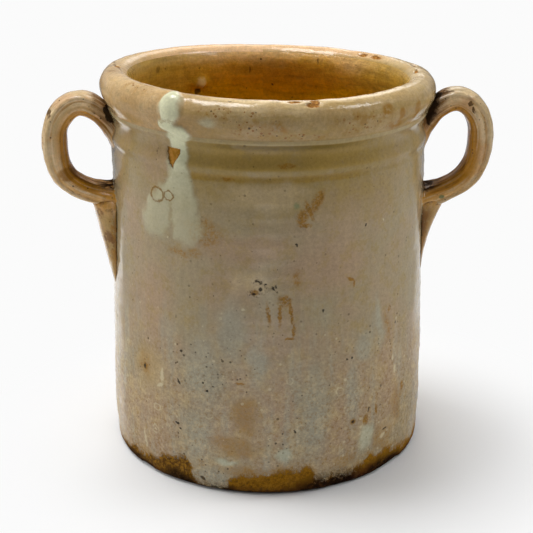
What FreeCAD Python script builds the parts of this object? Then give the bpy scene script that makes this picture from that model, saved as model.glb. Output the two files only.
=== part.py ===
import FreeCAD, Part
import math
import os

# Preserve pot: one piece of thrown, glazed earthenware with two pulled loop handles.
# Millimetres. The origin is at the middle of the foot and +Z is up.
# The handles lie along X and the front of the pot faces -Y.

# Foot and outside of the wall, which narrows slightly from the belly upwards
foot_radius = 109.5
foot_round = 4.5
belly_radius = 115.0
belly_height = 30.0
waist_radius = 113.2
waist_height = 110.0
shoulder_radius = 111.0
shoulder_height = 205.0

# Collar under the rim: a turned groove, a ridge and a hollow neck band, all below the lip
lip_height = 247.0
groove_drop = 22.5
groove_width = 3.6
groove_depth = 0.9
ridge_drop = 17.2
ridge_width = 4.4
ridge_rise = 1.3
neck_depth = 2.0

# Small bead that ends the rolled rim at its lower edge
bead_width = 3.2
bead_rise = 1.8

# Rolled rim, which stands out past the wall and in over the inside
rim_rise = 26.6
rim_radius = 117.0
crown_radius = 105.5
mouth_radius = 95.5
roll_rise = 12.0

# Inside of the pot
wall_thickness = 9.0
floor_thickness = 11.0
floor_corner = 14.0
throat_drop = 14.0

# Strap of the handles in cross-section, with grooves between the ribs along its back and sides
strap_width = 25.0
strap_top_thickness = 15.0
strap_side_thickness = 17.4
strap_low_thickness = 15.2
strap_squareness = 2.7
rib_groove_depth = 1.1
rib_groove_spread = math.radians(14)
back_groove_angle = math.radians(27)
outer_groove_angle = math.radians(75)
inner_groove_angle = math.radians(118)
strap_outline_points = 36
strap_sections = 15

# Line along the middle of the loop, from its top root in the wall to its low one. Each point is
# set from the one before: how far beyond or within it from the axis, and how far above or below.
root_depth = 10.0
top_root_below_lip = 27.0
rise_beyond_wall = 10.3
rise_above_lip = 2.6
crest_beyond_rise = 11.3
crest_above_rise = 4.0
bend_beyond_crest = 12.8
bend_below_crest = 8.6
reach_beyond_bend = 4.8
reach_below_bend = 20.5
turn_within_reach = 4.8
turn_below_reach = 21.1
run_within_turn = 18.4

# Flare of the strap towards the wall, at its top root and at its low root
top_flare_length = 34.0
top_flare_width = 52.0
top_flare_thickness = 19.0
low_flare_length = 30.0
low_flare_width = 50.0
low_flare_thickness = 24.0
flare_squareness = 2.0

# Tongue of clay smeared down the wall below each handle
tongue_reach = 15.0
tongue_bed = 5.0
tongue_head_rise = 9.0
tongue_head_share = 0.66
tongue_drop = 8.0
tongue_tip_share = 0.6
tongue_tip_sink = 1.0
tongue_sections = 5

# The two handles differ a little, as they do on a hand-made pot. The bearing is the turn of
# the handle from the X axis towards the front.
left_bearing = 9.0
left_run_below_turn = 13.0
left_root_below_run = 4.9
left_tongue_length = 68.0
left_tongue_width = 43.0
right_bearing = 3.0
right_run_below_turn = 15.4
right_root_below_run = 8.0
right_tongue_length = 53.0
right_tongue_width = 37.0

# Directions in the XZ plane, where the profile and the loops are drawn
up = FreeCAD.Vector(0, 0, 1)
down = FreeCAD.Vector(0, 0, -1)
outward = FreeCAD.Vector(1, 0, 0)
across = FreeCAD.Vector(0, 1, 0)
axis_foot = FreeCAD.Vector(0, 0, 0)


# A point of the turned profile, at a distance from the axis and a height.
def point(radius, height):
    return FreeCAD.Vector(radius, 0, height)


# A smooth edge through the points that leaves and arrives in the given directions.
def curve(points, leaving, arriving):
    spline = Part.BSplineCurve()
    spline.interpolate(Points=points, InitialTangent=leaving, FinalTangent=arriving)
    return spline.toShape()


# An arc between two heights of the collar that stands out by the rise, or in where it is negative.
def bulge(low, high, rise):
    middle = point(shoulder_radius + rise, (low + high) / 2)
    return Part.Arc(point(shoulder_radius, low), middle, point(shoulder_radius, high)).toShape()


# The point at 45 degrees of an ellipse about the top of the roll.
def on_roll(half_width):
    share = math.sqrt(0.5)
    return point(crown_radius + share * half_width, rim_top - roll_rise * (1 - share))


# Radius of the outside of the wall between the shoulder and the waist.
def wall_radius(height):
    share = (shoulder_height - height) / (shoulder_height - waist_height)
    return shoulder_radius + share * (waist_radius - shoulder_radius)


rim_top = lip_height + rim_rise
roll_height = rim_top - roll_rise
crest_height = lip_height + rise_above_lip + crest_above_rise
turn_height = crest_height - bend_below_crest - reach_below_bend - turn_below_reach


# Outside of the pot in profile, from the middle of the foot to the crown of the rim.
def outer_profile():
    groove_low = lip_height - groove_drop - groove_width / 2
    groove_high = groove_low + groove_width
    ridge_low = lip_height - ridge_drop - ridge_width / 2
    ridge_high = ridge_low + ridge_width
    bead_low = lip_height - bead_width / 2
    bead_high = bead_low + bead_width
    wall_start = point(foot_radius + foot_round, foot_round)
    foot_share = math.sqrt(0.5)
    foot_middle = point(foot_radius + foot_round * foot_share, foot_round * (1 - foot_share))
    wall_points = [
        wall_start,
        point(belly_radius, belly_height),
        point(waist_radius, waist_height),
        point(shoulder_radius, shoulder_height),
        point(shoulder_radius, groove_low),
    ]
    roll_side = point(rim_radius, roll_height)
    crown = point(crown_radius, rim_top)
    return [
        Part.makeLine(axis_foot, point(foot_radius, 0)),
        Part.Arc(point(foot_radius, 0), foot_middle, wall_start).toShape(),
        curve(wall_points, up, up),
        bulge(groove_low, groove_high, -groove_depth),
        Part.makeLine(point(shoulder_radius, groove_high), point(shoulder_radius, ridge_low)),
        bulge(ridge_low, ridge_high, ridge_rise),
        bulge(ridge_high, bead_low, -neck_depth),
        bulge(bead_low, bead_high, bead_rise),
        curve([point(shoulder_radius, bead_high), roll_side], up + outward, up),
        curve([roll_side, on_roll(rim_radius - crown_radius), crown], up, -outward),
    ]


# Inside of the pot in profile, from the crown of the rim to the middle of the floor.
def inner_profile():
    crown = point(crown_radius, rim_top)
    mouth = point(mouth_radius, roll_height)
    throat = point(shoulder_radius - wall_thickness, lip_height - throat_drop)
    inner_belly = point(belly_radius - wall_thickness, floor_thickness + floor_corner)
    corner_share = math.sqrt(0.5)
    corner_middle = point(
        inner_belly.x - floor_corner * (1 - corner_share),
        inner_belly.z - floor_corner * corner_share,
    )
    floor_edge = point(inner_belly.x - floor_corner, floor_thickness)
    floor_middle = point(0, floor_thickness)
    wall_points = [
        throat,
        point(shoulder_radius - wall_thickness, shoulder_height),
        point(waist_radius - wall_thickness, waist_height),
        inner_belly,
    ]
    return [
        curve([crown, on_roll(mouth_radius - crown_radius), mouth], -outward, down),
        curve([mouth, throat], down, down),
        curve(wall_points, down, down),
        Part.Arc(inner_belly, corner_middle, floor_edge).toShape(),
        Part.makeLine(floor_edge, floor_middle),
        Part.makeLine(floor_middle, axis_foot),
    ]


# The thrown pot: the closed profile turned about its axis.
def make_pot():
    section = Part.Face(Part.Wire(outer_profile() + inner_profile()))
    return section.revolve(axis_foot, up, 360)


# One closed outline of the strap: a rounded rectangle with grooves pressed in between its ribs.
# The angle is measured from the back of the strap, which faces away from the pot.
def strap_outline(centre, back, width, thickness, squareness):
    groove_angles = [back_groove_angle, outer_groove_angle, inner_groove_angle]
    outline = []
    for step in range(strap_outline_points):
        angle = 2 * math.pi * step / strap_outline_points
        sine = math.sin(angle)
        cosine = math.cos(angle)
        reach_across = width / 2 * math.copysign(abs(sine) ** (2 / squareness), sine)
        reach_back = thickness / 2 * math.copysign(abs(cosine) ** (2 / squareness), cosine)
        turn = min(angle, 2 * math.pi - angle)
        press = sum(math.exp(-((turn - groove) / rib_groove_spread) ** 2) for groove in groove_angles)
        keep = 1 - press * rib_groove_depth / math.hypot(reach_across, reach_back)
        outline.append(centre + across * (reach_across * keep) + back * (reach_back * keep))
    steps = [step / strap_outline_points for step in range(strap_outline_points + 1)]
    spline = Part.BSplineCurve()
    spline.interpolate(Points=outline, PeriodicFlag=True, Parameters=steps)
    return Part.Wire(spline.toShape())


# Share of the flare that is left at a distance from the root: all at the root, none at its length.
def flare(distance, length):
    return max(0, 1 - distance / length) ** 2


# Thickness of the strap along the loop, from its top to its side to its low limb.
def strap_thickness(share):
    ends = strap_top_thickness if share < 0.5 else strap_low_thickness
    swell = math.sin(math.pi * share)
    return ends + (strap_side_thickness - ends) * swell ** 2


# The loop: outlines of the strap set square to a line that leaves the wall under the rim, rises
# over its crest and comes back to the wall lower down.
def make_loop(run_below_turn, root_below_run):
    root_radius = shoulder_radius - root_depth
    top_root = point(root_radius, lip_height - top_root_below_lip)
    rise = point(shoulder_radius + rise_beyond_wall, lip_height + rise_above_lip)
    crest = point(rise.x + crest_beyond_rise, rise.z + crest_above_rise)
    bend = point(crest.x + bend_beyond_crest, crest.z - bend_below_crest)
    reach = point(bend.x + reach_beyond_bend, bend.z - reach_below_bend)
    turn = point(reach.x - turn_within_reach, reach.z - turn_below_reach)
    run = point(turn.x - run_within_turn, turn.z - run_below_turn)
    low_root = point(root_radius, run.z - root_below_run)
    path = Part.BSplineCurve()
    path.interpolate(Points=[top_root, rise, crest, bend, reach, turn, run, low_root])
    length = path.length()
    outlines = []
    for index in range(strap_sections):
        share = index / (strap_sections - 1)
        along = path.parameterAtDistance(length * share, path.FirstParameter)
        direction = path.tangent(along)[0]
        back = across.cross(direction) * -1
        top_flare = flare(length * share, top_flare_length)
        low_flare = flare(length * (1 - share), low_flare_length)
        width = strap_width
        width += (top_flare_width - strap_width) * top_flare
        width += (low_flare_width - strap_width) * low_flare
        thickness = strap_thickness(share)
        thickness += (top_flare_thickness - strap_top_thickness) * top_flare
        thickness += (low_flare_thickness - strap_low_thickness) * low_flare
        squareness = strap_squareness
        squareness += (flare_squareness - strap_squareness) * max(top_flare, low_flare)
        outlines.append(strap_outline(path.value(along), back, width, thickness, squareness))
    return Part.makeLoft(outlines, True, False)


# A level oval of the tongue, bedded in the wall, that stands out from it by the reach.
def tongue_oval(height, width, reach):
    middle = point(wall_radius(height) - tongue_bed, height)
    standing = tongue_bed + reach
    side = middle + across * (width / 2)
    front = middle + outward * standing
    if width / 2 > standing:
        oval = Part.Ellipse(side, front, middle)
    else:
        oval = Part.Ellipse(front, side, middle)
    return Part.Wire(oval.toShape())


# The tongue: ovals that shrink down the wall from the low limb until they sink into it.
def make_tongue(run_below_turn, length, width):
    top = turn_height - run_below_turn - tongue_drop
    head_width = width * tongue_head_share
    head_reach = tongue_reach * tongue_head_share
    ovals = [tongue_oval(top + tongue_head_rise, head_width, head_reach)]
    for index in range(tongue_sections):
        share = index / (tongue_sections - 1)
        reach = tongue_reach * (1 - share) - tongue_tip_sink * share
        ovals.append(tongue_oval(top - length * share, width * (1 - share * (1 - tongue_tip_share)), reach))
    return Part.makeLoft(ovals, True, False)


# One handle with its tongue, without what would reach past the middle of the wall.
def make_handle(run_below_turn, root_below_run, tongue_length, tongue_width):
    loop = make_loop(run_below_turn, root_below_run)
    tongue = make_tongue(run_below_turn, tongue_length, tongue_width)
    core = Part.makeCylinder(shoulder_radius - wall_thickness / 2, rim_top)
    return loop.fuse(tongue).cut(core)


left_handle = make_handle(
    left_run_below_turn, left_root_below_run, left_tongue_length, left_tongue_width
)
left_handle.rotate(axis_foot, up, 180 + left_bearing)
right_handle = make_handle(
    right_run_below_turn, right_root_below_run, right_tongue_length, right_tongue_width
)
right_handle.rotate(axis_foot, up, -right_bearing)
fired_clay = make_pot().fuse([left_handle, right_handle])
preserve_pot = fired_clay.Solids[0]

box = preserve_pot.optimalBoundingBox()
print("solids", len(fired_clay.Solids), "valid", preserve_pot.isValid())
print("size", round(box.XLength, 1), round(box.YLength, 1), round(box.ZLength, 1))
print("litres of clay", round(preserve_pot.Volume / 1e6, 3))

os.makedirs("parts", exist_ok=True)
preserve_pot.exportStep("parts/preserve_pot.step")
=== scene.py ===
import math

import bpy
import numpy as np
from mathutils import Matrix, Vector
from mathutils.kdtree import KDTree


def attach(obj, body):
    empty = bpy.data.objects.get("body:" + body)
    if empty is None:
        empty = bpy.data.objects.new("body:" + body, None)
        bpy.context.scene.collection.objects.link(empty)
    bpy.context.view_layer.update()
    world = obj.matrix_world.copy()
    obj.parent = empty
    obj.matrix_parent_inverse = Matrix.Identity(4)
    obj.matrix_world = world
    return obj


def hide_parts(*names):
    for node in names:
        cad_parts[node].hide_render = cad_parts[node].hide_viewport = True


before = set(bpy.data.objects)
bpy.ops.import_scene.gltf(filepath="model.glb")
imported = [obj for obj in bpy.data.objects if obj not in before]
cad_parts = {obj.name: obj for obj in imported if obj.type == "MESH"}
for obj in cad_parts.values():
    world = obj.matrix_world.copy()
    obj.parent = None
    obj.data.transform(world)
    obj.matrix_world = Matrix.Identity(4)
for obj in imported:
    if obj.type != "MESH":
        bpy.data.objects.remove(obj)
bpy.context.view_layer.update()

mm = 0.001  # metres in a millimetre
wallMapUnit = 100.0  # millimetres in one unit of the wall map


# A colour as a screen shows it, turned into the linear colour that the shaders work with.
def screenColour(*levels):
    shares = np.array(levels) / 255
    linear = np.where(shares <= 0.04045, shares / 12.92, ((shares + 0.055) / 1.055) ** 2.4)
    return (*linear.tolist(), 1.0)


# The thrown pot, in millimetres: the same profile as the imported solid.
# Heights of the collar are drops below the lip, the lower edge of the rolled rim.
pot = {
    "footRadius": 109.5,
    "footRound": 4.5,
    "belly": (115.0, 30.0),
    "waist": (113.2, 110.0),
    "shoulder": (111.0, 205.0),
    "lipHeight": 247.0,
    "grooveDrop": 22.5,
    "grooveWidth": 3.6,
    "grooveDepth": 0.9,
    "ridgeDrop": 17.2,
    "ridgeWidth": 4.4,
    "ridgeRise": 1.3,
    "neckDepth": 2.0,
    "beadWidth": 3.2,
    "beadRise": 1.8,
    "rimRise": 26.6,
    "rimRadius": 117.0,
    "crownRadius": 105.5,
    "mouthRadius": 95.5,
    "rollRise": 12.0,
    "wall": 9.0,
    "floor": 11.0,
    "floorCorner": 14.0,
    "throatDrop": 14.0,
    "closest": 0.05,  # profile points nearer to each other than this are one
    "collarWear": 4,  # rounds of smoothing that soften the collar's creases under the glaze
    "collarMargins": (5.0, 6.0, 7.0),  # how far the wear reaches inwards, down and up
    "wearShare": 0.6,  # how far a worn point moves to the mean of its neighbours in a round
    "rowStep": 2.0,  # between rows of faces on the open wall
    "fineStep": 1.1,  # between rows on the collar and the rim
    "insideStep": 5.0,
    "floorStep": 13.0,
}

# Angles are in degrees from the front, positive towards the right handle.
columns = {
    "drip": (-54.0, -18.0, 0.55),  # from, to, step
    "front": (-100.0, 100.0, 1.15),
    "backStep": 2.3,
}


# Points every step or so along a straight line.
def line(start, end, step):
    start, end = np.array(start, float), np.array(end, float)
    count = max(1, round(np.hypot(*(end - start)) / step))
    return start + (end - start) * np.linspace(0, 1, count + 1)[:, None]


# Points along an ellipse's arc: centre plus the two half axes times the cosine and sine of the turn.
def arc(centre, halfAxes, startTurn, endTurn, step):
    length = abs(endTurn - startTurn) * np.mean(halfAxes)
    turn = np.linspace(startTurn, endTurn, max(2, round(length / step)) + 1)
    return np.array(centre) + np.c_[halfAxes[0] * np.cos(turn), halfAxes[1] * np.sin(turn)]


# A shallow turned bulge: the wall's radius plus the rise times a half wave of the height.
def bulge(radius, low, high, rise, step):
    share = np.linspace(0, 1, max(4, round((high - low) / step)) + 1)
    return np.c_[radius + rise * np.sin(np.pi * share), low + (high - low) * share]


# Cubic spans through the points: each blends its two ends and its two end directions, and the
# direction at an inner point is the mean of its two chords, weighted by the shorter one.
def through(points, leaving, arriving, step):
    points = np.array(points, float)
    chords = np.diff(points, axis=0)
    lengths = np.hypot(*chords.T)
    slopes = chords / lengths[:, None]
    inner = slopes[1:] * lengths[:-1, None] + slopes[:-1] * lengths[1:, None]
    inner /= (lengths[1:] + lengths[:-1])[:, None]
    ends = [np.array(end) / np.hypot(*end) for end in (leaving, arriving)]
    directions = np.vstack([ends[0], inner, ends[1]])
    along = np.r_[0, np.cumsum(lengths)]
    at = np.linspace(0, along[-1], max(2, round(along[-1] / step)) + 1)
    span = np.clip(np.searchsorted(along, at, side="right") - 1, 0, len(lengths) - 1)
    share = ((at - along[span]) / lengths[span])[:, None]
    length = lengths[span][:, None]
    return (
        (2 * share ** 3 - 3 * share ** 2 + 1) * points[span]
        + (share ** 3 - 2 * share ** 2 + share) * length * directions[span]
        + (3 * share ** 2 - 2 * share ** 3) * points[span + 1]
        + (share ** 3 - share ** 2) * length * directions[span + 1]
    )


# The whole profile as radius and height, from the middle of the foot, up the outside, over the
# rim, down the inside and to the middle of the floor.
def potProfile():
    lip, rise, wall, floor = pot["lipHeight"], pot["rollRise"], pot["wall"], pot["floor"]
    shoulderRadius = pot["shoulder"][0]
    rollHeight = lip + pot["rimRise"] - rise
    grooveLow = lip - pot["grooveDrop"] - pot["grooveWidth"] / 2
    ridgeLow = lip - pot["ridgeDrop"] - pot["ridgeWidth"] / 2
    ridgeHigh = ridgeLow + pot["ridgeWidth"]
    beadLow = lip - pot["beadWidth"] / 2
    beadHigh = beadLow + pot["beadWidth"]
    outerHalf = pot["rimRadius"] - pot["crownRadius"]
    innerHalf = pot["crownRadius"] - pot["mouthRadius"]
    crown = (pot["crownRadius"], rollHeight)
    quarter = np.pi / 2
    up, down = (0, 1), (0, -1)
    fine = pot["fineStep"]
    footEdge = (pot["footRadius"], pot["footRound"])
    innerBelly = (pot["belly"][0] - wall, floor + pot["floorCorner"])
    cornerCentre = (innerBelly[0] - pot["floorCorner"], innerBelly[1])
    throat = (shoulderRadius - wall, lip - pot["throatDrop"])
    inner = [(pot[name][0] - wall, pot[name][1]) for name in ("shoulder", "waist")]
    wallPoints = [(pot["footRadius"] + pot["footRound"], pot["footRound"])]
    wallPoints += [pot["belly"], pot["waist"], pot["shoulder"], (shoulderRadius, grooveLow)]
    profile = np.concatenate([
        line((0, 0), (pot["footRadius"], 0), pot["floorStep"]),
        arc(footEdge, (pot["footRound"],) * 2, -quarter, 0, fine),
        through(wallPoints, up, up, pot["rowStep"]),
        bulge(shoulderRadius, grooveLow, grooveLow + pot["grooveWidth"], -pot["grooveDepth"], fine),
        bulge(shoulderRadius, ridgeLow, ridgeHigh, pot["ridgeRise"], fine),
        bulge(shoulderRadius, ridgeHigh, beadLow, -pot["neckDepth"], fine),
        bulge(shoulderRadius, beadLow, beadHigh, pot["beadRise"], fine),
        through([(shoulderRadius, beadHigh), (pot["rimRadius"], rollHeight)], (1, 1), up, fine),
        arc(crown, (outerHalf, rise), 0, quarter, fine),
        arc(crown, (innerHalf, rise), quarter, 2 * quarter, fine),
        through([(pot["mouthRadius"], rollHeight), throat], down, down, 2 * fine),
        through([throat, *inner, innerBelly], down, down, pot["insideStep"]),
        arc(cornerCentre, (pot["floorCorner"],) * 2, 0, -quarter, 2 * fine),
        line((cornerCentre[0], floor), (0, floor), pot["floorStep"]),
    ])
    fresh = np.hypot(*np.diff(profile, axis=0).T) > pot["closest"]
    profile = profile[np.r_[True, fresh]]
    inwards, downwards, upwards = pot["collarMargins"]
    radius, height = profile.T
    onCollar = (radius > shoulderRadius - inwards) & (height > grooveLow - downwards)
    onCollar &= height < beadHigh + upwards
    for _ in range(pot["collarWear"]):
        mean = (profile[:-2] + profile[2:]) / 2
        profile[1:-1] += pot["wearShare"] * onCollar[1:-1, None] * (mean - profile[1:-1])
    return profile


# Distance along the profile, counted from the middle of the bead at the lip: down the outside it
# is negative, and over the rim and into the pot it is positive.
def wayFromLip(profile):
    way = np.r_[0, np.cumsum(np.hypot(*np.diff(profile, axis=0).T))]
    radius, height = profile.T
    fromLip = np.where(radius < pot["shoulder"][0], np.inf, np.abs(height - pot["lipHeight"]))
    return way - way[np.argmin(fromLip)]


# Angles of the columns of faces, in radians, closest together where the glaze has run.
def columnAngles():
    dripFrom, dripTo, dripStep = columns["drip"]
    frontFrom, frontTo, frontStep = columns["front"]
    angles = [
        np.linspace(start, end, round((end - start) / step), endpoint=False)
        for start, end, step in (
            (frontFrom, dripFrom, frontStep),
            (dripFrom, dripTo, dripStep),
            (dripTo, frontTo, frontStep),
            (frontTo, 360 + frontFrom, columns["backStep"]),
        )
    ]
    return np.radians(np.concatenate(angles))


# Soft step from 0 to 1 between two values.
def smoothStep(value, low, high):
    share = np.clip((value - low) / (high - low), 0, 1)
    return share * share * (3 - 2 * share)


# Slow lumps: a sum of waves over position, each with its own seeded direction and phase.
def lumps(place, size, seed, waves=7):
    random = np.random.default_rng(seed)
    total = np.zeros(place.shape[:-1])
    for _ in range(waves):
        direction = random.normal(size=3)
        direction *= 2 * np.pi / (size * random.uniform(0.7, 1.5) * np.linalg.norm(direction))
        total += np.sin(place @ direction + random.uniform(0, 2 * np.pi))
    return total / math.sqrt(waves)


# Run of thick pale glaze down the rim, neck and wall. Each stretch is a capsule on the wall map,
# from one end to the other, with its half width at both and its rise, all in millimetres.
drip = {
    "stretches": [
        ((-63.0, 24.5), (-63.5, 16.5), 8.6, 8.4, 2.8),
        ((-67.0, 8.5), (-56.5, 3.6), 6.6, 6.6, 2.8),
        ((-61.5, 3.0), (-61.3, -32.0), 8.2, 9.6, 1.2),
        ((-63.0, -32.0), (-81.5, -58.5), 9.5, 15.0, 0.9),
        ((-60.0, -30.0), (-55.5, -61.0), 9.5, 13.0, 0.8),
    ],
    "ragged": 0.9,  # how far the edge wanders, in millimetres
    "chip": (-65.6, -11.6, 5.8, 9.6, 1.1),  # middle, top, half width, height and depth of the lost piece
    "chipTaper": 0.9,  # share of its width that the lost piece loses over its height
}


# Distance from a capsule in the plane as a share of its half width: 0 on its line, 1 at its edge.
def capsuleShare(across, along, start, end, startWidth, endWidth):
    start, end = np.array(start), np.array(end)
    axis = end - start
    place = np.stack([across, along], -1) - start
    share = np.clip(place @ axis / (axis @ axis), 0, 1)
    gap = np.linalg.norm(place - share[..., None] * axis, axis=-1)
    return gap / (startWidth + (endWidth - startWidth) * share)


# The run's field is 1 on its middle line, 0 at its edge and below 0 outside. Its rise is a dome.
def dripField(across, along, place):
    ragged = drip["ragged"] * lumps(place, 9, seed=3)
    field = np.full(across.shape, -1.0)
    rise = np.zeros(across.shape)
    for start, end, startWidth, endWidth, height in drip["stretches"]:
        share = capsuleShare(across, along, start, end, startWidth, endWidth) + ragged / startWidth
        field = np.maximum(field, 1 - share)
        rise = np.maximum(rise, height * np.clip(1 - share ** 2, 0, 1) ** 0.7)
    return np.clip(field, -1, 1), rise


# Marks of use and firing that change the surface, on the wall map: middle, half sizes and rise.
# Rings and lumps are the slow unevenness of a hand-thrown wall, all in millimetres.
relief = {
    "rings": [(0.10, 0.62, 1.4, 160, 5), (0.07, 1.31, 2.0, 130, 6)],  # rise, turn, waver, size, seed
    "lumps": [(0.30, 75, 8), (0.16, 26, 9), (0.10, 11, 10)],  # rise, size, seed
    "rimChips": [  # bits knocked off the rim
        ((17.5, 32.2), (5.0, 2.4), -1.0),
        ((31.0, 32.6), (3.8, 5.2), -1.2),
        ((29.0, 28.0), (5.0, 2.8), -1.1),
        ((134.0, 38.0), (7.0, 1.6), -0.8),
        ((174.0, 37.0), (5.0, 1.8), -0.9),
        ((195.0, 34.0), (4.0, 1.8), -0.9),
        ((252.0, 38.5), (6.5, 2.6), -1.6),
        ((267.0, 38.0), (5.5, 3.0), -2.0),
        ((-168.0, 36.0), (4.0, 2.2), -0.8),
    ],
    "footBites": [  # pieces lost from the edge of the foot
        ((52.0, -246.0), (11.0, 5.0), -2.0),
        ((-58.0, -247.5), (8.0, 4.0), -1.4),
        ((-96.0, -246.5), (9.0, 4.0), -1.0),
        ((100.0, -247.0), (14.0, 6.0), -2.6),
    ],
    "blisters": [  # burst bubbles in the glaze: a dome with a rim round it
        ((-79.6, -41.4), (6.2, 5.0), 0.5),
        ((-69.4, -40.6), (4.0, 3.4), 0.4),
        ((-77.0, -169.0), (4.0, 4.0), 0.3),
        ((-82.8, -212.7), (4.0, 4.2), 0.5),
        ((-39.4, -189.0), (4.5, 4.5), 0.35),
    ],
    "pimple": [  # lump of clay left inside, under the rim, and the hole above it
        ((-292.0, 67.0), (6.5, 5.0), 4.2),
        ((-291.0, 73.5), (3.2, 2.6), -2.4),
    ],
}


# Distance from a mark's middle as a share of its half sizes.
def markShare(across, along, middle, halfSizes):
    return np.hypot((across - middle[0]) / halfSizes[0], (along - middle[1]) / halfSizes[1])


# One soft round patch: one at its middle, nought from its half sizes outwards.
def patch(across, along, middle, halfSizes):
    return 1 - smoothStep(markShare(across, along, middle, halfSizes), 0.55, 1.1)


# How far the surface stands out from the turned profile, in millimetres, at each point of the
# wall map: throwing rings, slow lumps, the run of glaze and the marks above.
def surfaceRise(across, along, place):
    outside = 1 - smoothStep(along, 34, 44)
    onWall = smoothStep(along, -246, -236) * (1 - smoothStep(along, -28, -20))
    onRim = 0.5 + 0.5 * smoothStep(along, 0, 12)
    rise = 0
    for height, turn, waver, size, seed in relief["rings"]:
        rise = rise + height * np.sin(along * turn + waver * lumps(place, size, seed))
    rise = rise * onWall
    for (height, size, seed), share in zip(relief["lumps"], (1, outside, onRim)):
        rise = rise + height * lumps(place, size, seed) * share
    field, dripRise = dripField(across, along, place)
    rise += dripRise
    middle, top, halfWidth, height, depth = drip["chip"]
    drop = (top - along) / height
    lost = halfWidth * np.clip(1 - drop * drip["chipTaper"], 0, 1) - np.abs(across - middle)
    rise -= depth * smoothStep(lost, -0.6, 0.8) * (drop > -0.35) * (drop < 1.15)
    ragged = 1 + 0.22 * lumps(place, 5, seed=21)
    for centre, halfSizes, height in relief["rimChips"] + relief["footBites"]:
        rise += height * patch(across, along, centre, np.array(halfSizes)[:, None, None] * ragged)
    for centre, halfSizes, height in relief["blisters"]:
        share = markShare(across, along, centre, halfSizes)
        rise += height * (np.exp(-((share - 0.85) / 0.3) ** 2) + 0.5 * np.exp(-(share / 0.5) ** 2))
    for centre, halfSizes, height in relief["pimple"]:
        rise += height * patch(across, along, centre, halfSizes)
    return rise, field


# The pot isn't quite true: the foot sits a little to the left, and the rim leans and dips.
lean = {
    "footShift": -1.0,
    "shoulderShift": -0.2,
    "rimTilt": math.radians(1.2),
    "rimDip": 0.8,
    "rimOval": 0.5,
    "heights": (215.0, 272.0),  # where the rim's lean starts and where it is whole
}


# Moves the true pot to the leaning one: a shift that shrinks upwards, then a height that grows
# to the left and at both sides, only over the collar and the rim.
def leanPlace(place):
    x, y, z = place[..., 0], place[..., 1], place[..., 2]
    up = np.clip(z / pot["shoulder"][1], 0, 1)
    shift = lean["footShift"] + (lean["shoulderShift"] - lean["footShift"]) * up
    atRim = smoothStep(z, *lean["heights"])
    sides = -np.cos(2 * np.arctan2(x, -y))
    lift = -x * math.sin(lean["rimTilt"]) + lean["rimDip"] * sides
    radial = 1 + atRim * lean["rimOval"] / pot["rimRadius"] * sides
    return np.stack([x * radial + shift, y * radial, z + lift * atRim], -1)


# Values of all of a mesh's items, such as its points' places, as one row of numbers.
def readAll(items, name, width=1, kind=float):
    values = np.empty(len(items) * width, kind)
    items.foreach_get(name, values)
    return values


# Gives each point its values under their names, and shades the mesh smooth.
def giveValues(mesh, attributes):
    for name, values in attributes.items():
        attribute = mesh.attributes.new(name, "FLOAT", "POINT")
        attribute.data.foreach_set("value", np.asarray(values, np.float32))
    mesh.polygons.foreach_set("use_smooth", np.ones(len(mesh.polygons), bool))


# Puts numpy points and faces into a mesh, with its wall map, the run's field and the finishes.
def makeMesh(name, points, faces, faceMap, field, slots):
    mesh = bpy.data.meshes.new(name)
    mesh.from_pydata((points * mm).tolist(), [], faces)
    wallMap = mesh.uv_layers.new(name="wallMap")
    wallMap.data.foreach_set("uv", (faceMap / wallMapUnit).astype(np.float32).ravel())
    giveValues(mesh, {"drip": field})
    mesh.polygons.foreach_set("material_index", np.asarray(slots, np.int32))
    mesh.update()
    mesh.validate()
    return mesh


# Wall map of a row of faces or a grid of them. Each corner is a pair: its across and its along.
def cornerMap(*corners):
    grids = [np.stack(np.broadcast_arrays(*corner), -1) for corner in corners]
    return np.stack(grids, -2).reshape(-1, 2)


slotNames = ["wall", "rim", "inside", "handle"]
rimFrom, insideFrom = 1.5, 44.0  # where the rim's and the inside's finishes start, from the lip


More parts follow.
